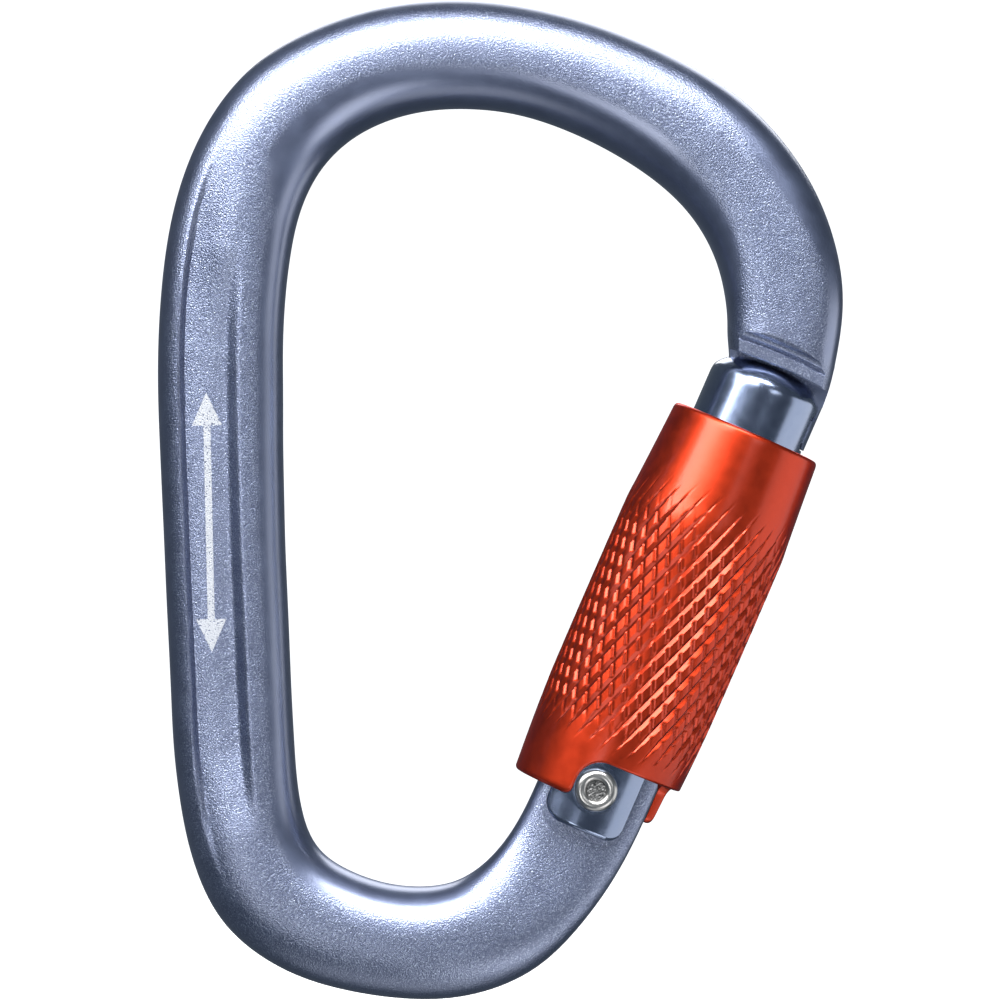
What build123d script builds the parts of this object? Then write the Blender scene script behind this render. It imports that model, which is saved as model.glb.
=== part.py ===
from build123d import *
import math
import os

# ---------------------------------------------------------------------------
# Pear-shaped locking carabiner with a spring-loaded twist sleeve.
# Millimetres. +Z points from the narrow basket to the wide basket, +Y runs
# through the thickness, and the origin is the apex of the inner edge of the
# wide basket, where the load sits.
# ---------------------------------------------------------------------------

# --- gate line -------------------------------------------------------------
gate_lean = 23.5                 # lean of the gate away from vertical, degrees
gate_foot = (13.51, 0.0, -70.52) # point on the gate axis level with the hinge
pivot_offset = 0.25              # rivet sits this far outward of the gate axis
pivot_rise = 0.10                # and this far up it from the foot
gate_opening = 26.0              # full opening angle, degrees

# --- hinge -----------------------------------------------------------------
tongue_half = 2.60               # half thickness of the body between the ears
ear_gap_half = 2.70              # half width of the slot between the ears
ear_half_width = 4.30
ear_bottom = -4.46
ear_top = 5.0
ear_edge_round = 0.45           # softened edge of the ears' outer faces
tongue_top = 4.25
tongue_outer_radius = 6.45       # outer shoulder of the tongue, about the rivet
slot_top = 7.30
rivet_radius = 1.60
tongue_bore_radius = 1.65
spotface_depth = 5.60            # distance of the ear flats from mid thickness
rivet_head_radius = 2.20
rivet_head_top = 7.90
rivet_recess_radius = 1.10
rivet_tail_radius = 2.00
rivet_tail_top = 6.50

# --- gate ------------------------------------------------------------------
gate_radius = 6.05
gate_waist_radius = 5.00         # turned down under the sleeve spring
waist_bottom = 9.00
waist_top = 37.00
gate_end = 47.60

# --- nose and keyway, swung about the rivet --------------------------------
plate_radius = 47.60             # underside of the nose plate, over the gate's end
neck_top = 51.05                 # the key's neck runs up into the body
neck_half = 1.50
key_half = 2.25
key_bottom = 41.10
key_top = 44.60
key_gap = 0.20                   # running gap between key and keyway
nose_plate_inner = -4.50
keyway_wall = -4.90
nose_rim_radius = 6.20

# --- closing spring and push rod -------------------------------------------
bore_offset = -1.60
bore_radius = 1.75
bore_end = 30.0
plunger_radius = 1.70
plunger_tip = 4.35
plunger_top = 12.0
gate_spring_wire = 0.45
gate_spring_radius = 1.38
gate_spring_turns = 13

# --- locking sleeve --------------------------------------------------------
sleeve_bottom = -1.42
sleeve_top = 40.20
sleeve_bore_radius = 7.30
lip_radius = 6.12
lip_bottom = 37.80
sleeve_profile = [               # radius, height along the gate
    (8.24, -0.90), (8.31, 0.20), (8.43, 2.10), (8.64, 6.20), (8.77, 10.40),
    (8.80, 20.00), (8.77, 28.80), (8.58, 31.60), (8.32, 35.40), (8.06, 39.60),
]
window_top = 3.12
notch_centre = (0.48, 0.47)      # the notch wraps the rivet head, opening upward
notch_radius = 2.65
window_sweep = 116.0             # from the front face round the outer side
ring_inner_radius = 5.08
ring_bottom = 9.10
ring_top = 11.30
ring_gap = 2.6
sleeve_spring_wire = 0.80
sleeve_spring_radius = 6.15
sleeve_spring_bottom = 11.9
sleeve_spring_top = 36.3
sleeve_spring_turns = 9

# --- body: stations round the forging --------------------------------------
# outer edge x, z, inner edge x, z, half thickness, squareness of the section,
# depth of the side channel at its outer wall and at its inner slope
body_sections = [
    (37.36, -31.17, 27.75, -26.99, 5.70, 3.30, 0.00, 0.00),
    (38.04, -29.28, 27.74, -25.62, 5.70, 3.30, 0.00, 0.00),
    (38.77, -26.22, 27.60, -23.76, 5.70, 3.35, 0.00, 0.00),
    (39.42, -21.86, 27.56, -21.80, 5.70, 3.40, 0.00, 0.00),
    (38.99, -15.40, 27.02, -17.98, 5.69, 3.30, 0.00, 0.00),
    (36.89, -9.17, 25.79, -14.42, 5.64, 3.05, 0.00, 0.00),
    (33.44, -3.64, 23.79, -11.18, 5.58, 2.75, 0.00, 0.00),
    (28.97, 0.94, 21.06, -8.35, 5.54, 2.54, 0.00, 0.00),
    (23.90, 4.35, 17.67, -5.85, 5.50, 2.42, 0.00, 0.00),
    (18.66, 6.94, 13.77, -3.63, 5.47, 2.34, 0.00, 0.00),
    (13.23, 8.97, 9.62, -1.82, 5.44, 2.32, 0.00, 0.00),
    (7.53, 10.43, 5.36, -0.57, 5.41, 2.30, 0.00, 0.00),
    (1.61, 11.21, 1.03, -0.06, 5.40, 2.30, 0.00, 0.00),
    (-4.45, 11.13, -3.22, -0.20, 5.38, 2.30, 0.00, 0.00),
    (-10.58, 10.05, -7.23, -1.09, 5.38, 2.31, 0.00, 0.00),
    (-16.59, 7.73, -10.77, -2.72, 5.37, 2.32, 0.00, 0.00),
    (-22.20, 3.96, -13.55, -4.98, 5.36, 2.33, 0.00, 0.00),
    (-26.45, -1.40, -15.60, -7.81, 5.35, 2.35, 0.03, 0.00),
    (-29.11, -7.35, -17.05, -11.34, 5.33, 2.53, 0.40, 0.00),
    (-30.56, -13.25, -17.93, -15.49, 5.31, 2.82, 0.85, 0.06),
    (-31.28, -18.95, -18.45, -20.05, 5.30, 2.90, 1.03, 0.55),
    (-31.60, -24.47, -18.67, -24.83, 5.30, 2.90, 1.06, 0.90),
    (-31.62, -29.86, -18.66, -29.76, 5.30, 2.90, 1.07, 1.03),
    (-31.44, -35.12, -18.65, -34.82, 5.30, 2.90, 1.08, 1.10),
    (-31.21, -40.34, -18.56, -39.92, 5.30, 2.90, 1.08, 1.16),
    (-30.98, -45.54, -18.44, -45.04, 5.30, 2.90, 1.08, 1.21),
    (-30.76, -50.71, -18.23, -50.17, 5.30, 2.90, 1.09, 1.24),
    (-30.51, -55.87, -18.01, -55.32, 5.30, 2.90, 1.11, 1.25),
    (-30.27, -61.06, -17.80, -60.45, 5.31, 2.90, 1.15, 1.25),
    (-29.99, -66.39, -17.53, -65.42, 5.33, 2.84, 1.07, 1.09),
    (-29.34, -72.00, -17.16, -70.09, 5.34, 2.62, 0.70, 0.55),
    (-28.00, -78.12, -16.38, -74.08, 5.35, 2.42, 0.16, 0.05),
    (-24.77, -84.65, -15.02, -76.81, 5.34, 2.38, 0.00, 0.00),
    (-18.92, -89.29, -12.81, -78.65, 5.33, 2.37, 0.00, 0.00),
    (-12.64, -91.52, -9.44, -80.12, 5.30, 2.35, 0.00, 0.00),
    (-6.26, -92.50, -5.65, -80.85, 5.20, 2.35, 0.00, 0.00),
    (0.43, -92.21, -2.01, -80.66, 4.90, 2.46, 0.00, 0.00),
    (7.17, -89.62, 0.88, -79.50, 4.20, 2.70, 0.00, 0.00),
    (12.19, -84.97, 3.53, -77.21, 3.25, 3.14, 0.00, 0.00),
    (15.29, -80.76, 5.52, -74.48, 2.84, 3.68, 0.00, 0.00),
    (17.70, -76.47, 7.22, -71.21, 2.78, 4.52, 0.00, 0.00),
    (19.61, -72.31, 8.82, -67.52, 2.78, 5.00, 0.00, 0.00),
    (21.52, -67.90, 10.70, -63.19, 2.78, 5.00, 0.00, 0.00),
]

# fractions of the section width at which the half section is laid out
across = [0.010, 0.035, 0.075, 0.120, 0.160, 0.190, 0.215, 0.240, 0.280, 0.350,
          0.430, 0.500, 0.535, 0.570, 0.605, 0.640, 0.675, 0.715, 0.760, 0.820,
          0.890, 0.950, 0.985]
channel_wall = (0.155, 0.235)    # outer wall of the channel
channel_slope = (0.530, 0.710)   # inner slope of the channel


# ---------------------------------------------------------------------------
# Working planes and helpers
# ---------------------------------------------------------------------------
lean = math.radians(gate_lean)
along = Vector(math.sin(lean), 0, math.cos(lean))
outward = Vector(math.cos(lean), 0, -math.sin(lean))
foot = Vector(*gate_foot)
pivot = foot + outward * pivot_offset + along * pivot_rise
pivot_axis = Axis(pivot, (0, 1, 0))
gate_axis = Axis(foot, along)

# x outward, y through the thickness, z along the gate
gate_base = Plane(origin=foot, x_dir=outward, z_dir=along)
# x outward, y along the gate, seen from the front
gate_side = Plane(origin=foot, x_dir=outward, z_dir=(0, -1, 0))


def swing_plane(angle):
    """x through the thickness, y away from the rivet, turned outward by angle."""
    t = math.radians(angle)
    return Plane(
        origin=pivot,
        x_dir=(0, 1, 0),
        z_dir=outward * math.cos(t) - along * math.sin(t),
    )


def ease(a, b, v):
    t = min(1.0, max(0.0, (v - a) / (b - a)))
    return t * t * (3 - 2 * t)


def half_section(width, half, power, wall_depth, slope_depth):
    """Height of the section above mid thickness at each fraction of its width."""
    heights = []
    for f in across:
        u = abs(2 * f - 1)
        y = half * (1 - u**power) ** (1 / power)
        floor = wall_depth + (slope_depth - wall_depth) * ease(
            channel_wall[1], channel_slope[0], f
        )
        if f < channel_slope[0]:
            cut = floor * ease(channel_wall[0], channel_wall[1], f)
        else:
            cut = floor * (1 - ease(*channel_slope, f))
        heights.append(y - cut)
    return heights


def section_points(width, heights):
    front = [(f * width, -y) for f, y in zip(across, heights)]
    back = [(f * width, y) for f, y in zip(across, heights)]
    return [(0, 0)] + front + [(width, 0)] + back[::-1]


def knots_of(points):
    """Chord-length parameters of one reference section, shared by every section."""
    total = [0.0]
    for p, q in zip(points, points[1:] + points[:1]):
        total.append(total[-1] + math.hypot(q[0] - p[0], q[1] - p[1]))
    return [t / total[-1] for t in total]


reference = section_points(12.4, half_section(12.4, 5.3, 2.7, 0.6, 0.6))
shared_knots = knots_of(reference)

# ---------------------------------------------------------------------------
# Nose key: mushroom section swung about the rivet, trimmed to the nose plate
# ---------------------------------------------------------------------------
with BuildPart() as nose_key:
    with BuildSketch(swing_plane(-9)):
        with BuildLine():
            Polyline(
                (-neck_half, neck_top),
                (-neck_half, key_top),
                (-key_half, key_top - 0.5),
                (-key_half, key_bottom + 0.6),
                (-key_half + 0.6, key_bottom),
                (key_half - 0.6, key_bottom),
                (key_half, key_bottom + 0.6),
                (key_half, key_top - 0.5),
                (neck_half, key_top),
                (neck_half, neck_top),
                close=True,
            )
        make_face()
    revolve(axis=pivot_axis, revolution_arc=20)
    with BuildSketch(gate_side):
        with BuildLine():
            Polyline(
                (-5.90, 49.00),
                (-4.85, 46.90),
                (nose_plate_inner, 45.90),
                (nose_plate_inner, 38.0),
                (7.0, 38.0),
                (7.0, 44.0),
                (6.16, 46.20),
                (5.96, 48.00),
                (5.66, 50.00),
                (4.60, 52.50),
                (-5.00, 52.50),
                close=True,
            )
        make_face()
    extrude(amount=7, both=True, mode=Mode.INTERSECT)
    with BuildSketch(gate_base.offset(36)):
        Circle(nose_rim_radius)
    extrude(amount=20, mode=Mode.INTERSECT)

# ---------------------------------------------------------------------------
# Clearance for the gate's end, and the stepped nose plate that faces it
# ---------------------------------------------------------------------------
with BuildPart() as nose_relief:
    with BuildSketch(swing_plane(-12)):
        for side in (-1, 1):
            with BuildLine():
                low = Polyline(
                    (side * neck_half, 43.0),
                    (side * neck_half, plate_radius + 0.25),
                    (side * 4.30, plate_radius),
                    (side * 4.42, plate_radius + 0.10),
                    (side * 4.55, plate_radius + 0.65),
                    (side * 4.85, plate_radius + 0.95),
                    (side * 4.98, plate_radius + 1.60),
                )
                crease = ThreePointArc(
                    low @ 1,
                    (side * 5.10, plate_radius + 2.00),
                    (side * 5.45, plate_radius + 2.35),
                )
                brow = ThreePointArc(
                    crease @ 1,
                    (side * 5.64, plate_radius + 2.65),
                    (side * 5.72, plate_radius + 3.20),
                )
                top = Line(brow @ 1, (side * 5.75, plate_radius + 4.25))
                Polyline(top @ 1, (side * 9, plate_radius + 4.25), (side * 9, 43.0), low @ 0)
            make_face()
    revolve(axis=pivot_axis, revolution_arc=26)

# ---------------------------------------------------------------------------
# Frame: forged body from the hinge tongue round to the nose
# ---------------------------------------------------------------------------
with BuildPart() as forging:
    for xo, zo, xi, zi, half, power, wall_depth, slope_depth in body_sections:
        width = math.hypot(xi - xo, zi - zo)
        across_dir = Vector(xi - xo, 0, zi - zo).normalized()
        station = Plane(
            origin=(xo, 0, zo),
            x_dir=across_dir,
            z_dir=across_dir.cross(Vector(0, 1, 0)),
        )
        outline = section_points(
            width, half_section(width, half, power, wall_depth, slope_depth)
        )
        with BuildSketch(station):
            with BuildLine():
                add(Edge.make_spline(outline, periodic=True, parameters=shared_knots))
            make_face()
    loft()
    add(nose_relief.part, mode=Mode.SUBTRACT)

forged_body = forging.part + nose_key.part

with BuildPart() as frame:
    add(forged_body)
    # flats beside the rivet, where the ears swing
    for side in (-1, 1):
        with BuildSketch(Plane.XZ.offset(-side * tongue_half)):
            with Locations((pivot.X, pivot.Z)):
                Circle(6.15)
        extrude(amount=-side * 6, mode=Mode.SUBTRACT)
    # top of the tongue: flat for the push rod, shoulders turned about the rivet
    shoulder_x = pivot_offset + math.sqrt(
        tongue_outer_radius**2 - (tongue_top - pivot_rise) ** 2
    )
    shoulder_low = (
        pivot_offset + math.sqrt(tongue_outer_radius**2 - (1.6 - pivot_rise) ** 2),
        1.6,
    )
    with BuildSketch(gate_side):
        with BuildLine():
            left = Polyline((-9, 8), (-9, 2.9), (-5.7, 2.9))
            corner = ThreePointArc(left @ 1, (-5.30, 3.80), (-4.40, tongue_top))
            flat = Line(corner @ 1, (shoulder_x, tongue_top))
            round_off = ThreePointArc(
                flat @ 1,
                (
                    pivot_offset + tongue_outer_radius * math.cos(math.radians(30.5)),
                    pivot_rise + tongue_outer_radius * math.sin(math.radians(30.5)),
                ),
                shoulder_low,
            )
            Polyline(round_off @ 1, (9, 1.6), (9, 8), left @ 0)
        make_face()
    extrude(amount=8, both=True, mode=Mode.SUBTRACT)
    with BuildSketch(Plane.XZ):
        with Locations((pivot.X, pivot.Z)):
            Circle(tongue_bore_radius)
    extrude(amount=8, both=True, mode=Mode.SUBTRACT)
frame.part.label = "frame"

# ---------------------------------------------------------------------------
# Gate: turned bar with hinge ears, spring bore and keyway
# ---------------------------------------------------------------------------
with BuildPart() as keyway:
    with BuildSketch(swing_plane(-9)):
        with BuildLine():
            Polyline(
                (-neck_half - key_gap, gate_end + 2),
                (-neck_half - key_gap, key_top + key_gap),
                (-key_half - key_gap, key_top - 0.5 + key_gap),
                (-key_half - key_gap, key_bottom + 0.5 - key_gap),
                (-key_half + 0.5 - key_gap, key_bottom - key_gap),
                (key_half - 0.5 + key_gap, key_bottom - key_gap),
                (key_half + key_gap, key_bottom + 0.5 - key_gap),
                (key_half + key_gap, key_top - 0.5 + key_gap),
                (neck_half + key_gap, key_top + key_gap),
                (neck_half + key_gap, gate_end + 2),
                close=True,
            )
        make_face()
    revolve(axis=pivot_axis, revolution_arc=22)
    with BuildSketch(gate_side):
        with Locations(((keyway_wall + 9) / 2, 45)):
            Rectangle(9 - keyway_wall, 14)
    extrude(amount=7, both=True, mode=Mode.INTERSECT)

with BuildPart() as gate:
    with BuildSketch(gate_side):
        with BuildLine():
            side = Polyline(
                (0, ear_bottom - 1),
                (gate_radius, ear_bottom - 1),
                (gate_radius, waist_bottom - 0.25),
                (gate_radius - 0.25, waist_bottom),
                (gate_waist_radius, waist_bottom),
                (gate_waist_radius, waist_top),
                (gate_radius - 0.25, waist_top),
                (gate_radius, waist_top + 0.25),
                (gate_radius, 44.2),
            )
            dome = Spline(
                side @ 1,
                (5.86, 45.6),
                (5.40, 46.2),
                (4.60, 46.85),
                (3.40, 47.32),
                (1.80, 47.54),
                (0, gate_end),
                tangents=[(0, 1), (-1, 0)],
            )
            Line(dome @ 1, side @ 0)
        make_face()
    revolve(axis=gate_axis)
    # side flats and rounded feet of the ears
    with BuildSketch(gate_side):
        with Locations((pivot_offset, (ear_top + ear_bottom - 3) / 2)):
            Rectangle(20, ear_top - ear_bottom + 3)
        with BuildLine(mode=Mode.PRIVATE) as ear_edge:
            FilletPolyline(
                (pivot_offset - ear_half_width, ear_top + 1),
                (pivot_offset - ear_half_width, ear_bottom),
                (pivot_offset + ear_half_width, ear_bottom),
                (pivot_offset + ear_half_width, ear_top + 1),
                radius=(2.2, 1.6),
                close=False,
            )
            Line(
                (pivot_offset + ear_half_width, ear_top + 1),
                (pivot_offset - ear_half_width, ear_top + 1),
            )
        add(make_face(ear_edge.edges(), mode=Mode.PRIVATE), mode=Mode.SUBTRACT)
    extrude(amount=9, both=True, mode=Mode.SUBTRACT)
    # slot for the hinge tongue
    with BuildSketch(gate_base.offset(ear_bottom - 2)):
        Rectangle(20, 2 * ear_gap_half)
    extrude(amount=slot_top - ear_bottom + 2, mode=Mode.SUBTRACT)
    # blind bore for the closing spring and its push rod
    with BuildSketch(gate_base.offset(slot_top - 1)):
        with Locations((bore_offset, 0)):
            Circle(bore_radius)
    extrude(amount=bore_end - slot_top + 1, mode=Mode.SUBTRACT)
    # rivet hole and the flats under the rivet heads
    with BuildSketch(Plane.XZ):
        with Locations((pivot.X, pivot.Z)):
            Circle(rivet_radius)
    extrude(amount=9, both=True, mode=Mode.SUBTRACT)
    for side_y in (-1, 1):
        with BuildSketch(Plane.XZ.offset(-side_y * spotface_depth)):
            with Locations((pivot.X, pivot.Z)):
                Circle(2.65)
        extrude(amount=-side_y * 2, mode=Mode.SUBTRACT)
    add(keyway.part, mode=Mode.SUBTRACT)
    # notch for the upper leg of the sleeve spring
    with BuildSketch(gate_base.offset(waist_top - 0.01)):
        with Locations((sleeve_spring_radius, 0)):
            Rectangle(2.0, 1.1)
    extrude(amount=1.6, mode=Mode.SUBTRACT)
    # softened outline of the ears, apart from the flats under the rivet heads
    ear_outline = [
        e
        for e in gate.edges()
        if (e @ 0.5 - foot).dot(along) < ear_top - 0.1
        and (e @ 0.5 - pivot - Vector(0, (e @ 0.5).Y, 0)).length > rivet_head_radius + 0.6
        and all(
            abs(math.hypot((e @ u - foot).dot(outward), (e @ u).Y) - gate_radius) < 0.02
            for u in (0, 0.25, 0.5, 0.75, 1)
        )
    ]
    fillet(ear_outline, radius=ear_edge_round)
gate.part.label = "gate"

# ---------------------------------------------------------------------------
# Hinge rivet: domed head with an upset centre, plain shank, low tail
# ---------------------------------------------------------------------------
rivet_side = Plane(origin=pivot, x_dir=(1, 0, 0), z_dir=(0, 0, 1))
with BuildPart() as hinge_rivet:
    with BuildSketch(rivet_side):
        with BuildLine():
            head = Polyline(
                (0, -rivet_head_top + 0.42),
                (rivet_recess_radius - 0.12, -rivet_head_top + 0.42),
                (rivet_recess_radius, -rivet_head_top + 0.20),
            )
            crown = ThreePointArc(
                head @ 1,
                (rivet_head_radius - 0.62, -rivet_head_top),
                (rivet_head_radius, -rivet_head_top + 0.75),
            )
            shank = Polyline(
                crown @ 1,
                (rivet_head_radius, -spotface_depth),
                (rivet_radius, -spotface_depth),
                (rivet_radius, spotface_depth),
                (rivet_tail_radius, spotface_depth),
                (rivet_tail_radius, rivet_tail_top - 0.5),
            )
            tail = ThreePointArc(
                shank @ 1,
                (rivet_tail_radius - 0.1464, rivet_tail_top - 0.1464),
                (rivet_tail_radius - 0.5, rivet_tail_top),
            )
            Polyline(tail @ 1, (0, rivet_tail_top), head @ 0)
        make_face()
    revolve(axis=pivot_axis)
hinge_rivet.part.label = "hinge_rivet"

# ---------------------------------------------------------------------------
# Push rod and closing spring, in the gate's bore
# ---------------------------------------------------------------------------
with BuildPart() as gate_plunger:
    with BuildSketch(gate_side):
        with BuildLine():
            nose_arc = ThreePointArc(
                (bore_offset, plunger_tip),
                (
                    bore_offset + plunger_radius * math.sin(math.radians(45)),
                    plunger_tip + plunger_radius * (1 - math.cos(math.radians(45))),
                ),
                (bore_offset + plunger_radius, plunger_tip + plunger_radius),
            )
            Polyline(
                nose_arc @ 1,
                (bore_offset + plunger_radius, plunger_top - 0.2),
                (bore_offset + plunger_radius - 0.2, plunger_top),
                (bore_offset, plunger_top),
                nose_arc @ 0,
            )
        make_face()
    revolve(axis=Axis(foot + outward * bore_offset, along))
gate_plunger.part.label = "gate_plunger"

coil_foot = foot + outward * bore_offset + along * (plunger_top + gate_spring_wire / 2 + 0.02)
coil_length = bore_end - plunger_top - gate_spring_wire - 0.06
with BuildPart() as gate_spring:
    with BuildLine() as coil:
        Helix(
            pitch=coil_length / gate_spring_turns,
            height=coil_length,
            radius=gate_spring_radius - 0.02,
            center=coil_foot,
            direction=along,
        )
    with BuildSketch(Plane(origin=coil.line @ 0, z_dir=coil.line % 0)):
        Circle(gate_spring_wire / 2)
    sweep(path=coil.line, is_frenet=True)
gate_spring.part.label = "gate_spring"

# ---------------------------------------------------------------------------
# Locking sleeve: barrel with a lip at the nose end and one window at the hinge
# ---------------------------------------------------------------------------
with BuildPart() as locking_sleeve:
    with BuildSketch(gate_side):
        with BuildLine():
            foot_edge = Polyline(
                (sleeve_bore_radius, sleeve_bottom + 0.15),
                (sleeve_bore_radius + 0.15, sleeve_bottom),
                (sleeve_profile[0][0] - 0.45, sleeve_bottom),
            )
            foot_round = TangentArc(
                foot_edge @ 1, sleeve_profile[0], tangent=(1, 0)
            )
            barrel = Spline(*sleeve_profile)
            brim = Spline(
                barrel @ 1,
                (sleeve_profile[-1][0] - 0.16, sleeve_top - 0.16),
                (sleeve_profile[-1][0] - 0.55, sleeve_top),
                tangents=[barrel % 1, (-1, 0)],
            )
            Polyline(
                brim @ 1,
                (lip_radius + 0.25, sleeve_top),
                (lip_radius, sleeve_top - 0.25),
                (lip_radius, lip_bottom),
                (sleeve_bore_radius, lip_bottom),
                foot_edge @ 0,
            )
        make_face()
    revolve(axis=gate_axis)
    # window: upper edge square to the axis, from the front round the outer side
    window_start = Plane(origin=foot, x_dir=(0, -1, 0), z_dir=Vector(0, -1, 0).cross(along))
    with BuildSketch(window_start):
        with BuildLine():
            Polyline(
                (6.9, sleeve_bottom - 1),
                (10, sleeve_bottom - 1),
                (10, window_top),
                (6.9, window_top),
                close=True,
            )
        make_face()
    revolve(axis=gate_axis, revolution_arc=window_sweep, mode=Mode.SUBTRACT)
    # notch that seats on the rivet head, running out round at the skirt's edge
    nx, nt = notch_centre
    flare = 0.90
    with BuildSketch(gate_side.offset(4.0)):
        with BuildLine():
            drop = Line((nx - notch_radius - flare, -3.5), (nx - notch_radius - flare, -1.55))
            foot_arc = ThreePointArc(
                drop @ 1,
                (nx - notch_radius - 0.293 * flare, -1.55 + 0.293 * flare),
                (nx - notch_radius, -1.55 + flare),
            )
            wall = Line(foot_arc @ 1, (nx - notch_radius, nt))
            crown_arc = ThreePointArc(
                wall @ 1,
                (nx - 0.7071 * notch_radius, nt + 0.7071 * notch_radius),
                (nx, nt + notch_radius),
            )
            Polyline(crown_arc @ 1, (1.5, nt + notch_radius), (1.5, -3.5), drop @ 0)
        make_face()
    extrude(amount=6, mode=Mode.SUBTRACT)
    # rounded corners at the far end of the window
    wall_edges = [
        e
        for e in locking_sleeve.edges()
        if 0.6 < e.length < 1.3
        and abs((e @ 0 - e @ 1).dot(along)) < 0.3
        and (e @ 0.5 - foot).dot(outward) > 6.5
        and (e @ 0.5).Y > 2.0
    ]
    upper = [e for e in wall_edges if (e @ 0.5 - foot).dot(along) > window_top - 0.3]
    fillet(upper, radius=1.3)
locking_sleeve.part.label = "locking_sleeve"

# ---------------------------------------------------------------------------
# Split ring pressed in the sleeve, running on the gate's waist
# ---------------------------------------------------------------------------
with BuildPart() as sleeve_ring:
    with BuildSketch(gate_base.offset(ring_bottom)):
        Circle(sleeve_bore_radius)
        Circle(ring_inner_radius, mode=Mode.SUBTRACT)
        with Locations((sleeve_spring_radius, 0)):
            Rectangle(4.0, ring_gap, mode=Mode.SUBTRACT)
    extrude(amount=ring_top - ring_bottom)
sleeve_ring.part.label = "sleeve_ring"

# ---------------------------------------------------------------------------
# Torsion spring round the waist, one leg in the gate and one in the ring's gap
# ---------------------------------------------------------------------------
coil2_height = sleeve_spring_top - sleeve_spring_bottom
with BuildPart() as sleeve_spring:
    with BuildLine() as coil2:
        Helix(
            pitch=coil2_height / sleeve_spring_turns,
            height=coil2_height,
            radius=sleeve_spring_radius,
            center=foot + along * sleeve_spring_bottom,
            direction=along,
        )
    with BuildSketch(Plane(origin=coil2.line @ 0, z_dir=coil2.line % 0)):
        Circle(sleeve_spring_wire / 2)
    sweep(path=coil2.line, is_frenet=True)
    # legs
    with BuildSketch(Plane(origin=coil2.line @ 0, x_dir=outward, z_dir=-along)):
        Circle(sleeve_spring_wire / 2)
    extrude(amount=2.2)
    with BuildSketch(Plane(origin=coil2.line @ 1, x_dir=outward, z_dir=along)):
        Circle(sleeve_spring_wire / 2)
    extrude(amount=1.25)
    with Locations(coil2.line @ 0, coil2.line @ 1):
        Sphere(sleeve_spring_wire / 2)
sleeve_spring.part.label = "sleeve_spring"

# ---------------------------------------------------------------------------
# Write one STEP file for each piece
# ---------------------------------------------------------------------------
os.makedirs("parts", exist_ok=True)
export_step(frame.part, "parts/frame.step")
export_step(gate.part, "parts/gate.step")
export_step(hinge_rivet.part, "parts/hinge_rivet.step")
export_step(gate_plunger.part, "parts/gate_plunger.step")
export_step(gate_spring.part, "parts/gate_spring.step")
export_step(locking_sleeve.part, "parts/locking_sleeve.step")
export_step(sleeve_ring.part, "parts/sleeve_ring.step")
export_step(sleeve_spring.part, "parts/sleeve_spring.step")
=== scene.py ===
import math

import bpy
import numpy as np
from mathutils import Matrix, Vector


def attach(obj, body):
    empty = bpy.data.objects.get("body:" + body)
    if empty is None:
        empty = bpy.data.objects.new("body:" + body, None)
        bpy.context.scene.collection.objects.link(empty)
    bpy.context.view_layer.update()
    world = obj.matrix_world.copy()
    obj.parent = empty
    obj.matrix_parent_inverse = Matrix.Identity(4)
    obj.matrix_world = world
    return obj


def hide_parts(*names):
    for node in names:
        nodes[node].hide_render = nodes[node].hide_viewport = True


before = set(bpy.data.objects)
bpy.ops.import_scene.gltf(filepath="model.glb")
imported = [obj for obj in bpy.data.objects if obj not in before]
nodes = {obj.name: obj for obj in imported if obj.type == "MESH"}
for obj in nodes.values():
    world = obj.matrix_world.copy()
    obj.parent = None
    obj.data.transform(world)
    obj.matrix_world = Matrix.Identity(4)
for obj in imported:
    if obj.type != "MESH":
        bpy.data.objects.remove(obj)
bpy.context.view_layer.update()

MM = 0.001

# ---------------------------------------------------------------------------
# The gate's line, shared by the sleeve and by the materials (millimetres)
# ---------------------------------------------------------------------------
LEAN = math.radians(23.5)
ALONG = np.array([math.sin(LEAN), 0.0, math.cos(LEAN)])
OUTWARD = np.array([math.cos(LEAN), 0.0, -math.sin(LEAN)])
FRONT = np.array([0.0, -1.0, 0.0])
FOOT = np.array([13.51, 0.0, -70.52])
PIVOT = FOOT + 0.25 * OUTWARD + 0.10 * ALONG


def mesh_object(name, points_mm, faces, smooth_below=30.0):
    """A mesh object in the row frame, smooth except where its faces turn sharply."""
    mesh = bpy.data.meshes.new(name)
    mesh.from_pydata([tuple(p) for p in np.asarray(points_mm) * MM], [], faces)
    mesh.update()
    mesh.validate()
    mesh.polygons.foreach_set("use_smooth", [True] * len(mesh.polygons))
    mark_sharp(mesh, smooth_below)
    obj = bpy.data.objects.new(name, mesh)
    bpy.context.scene.collection.objects.link(obj)
    return obj


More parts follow.
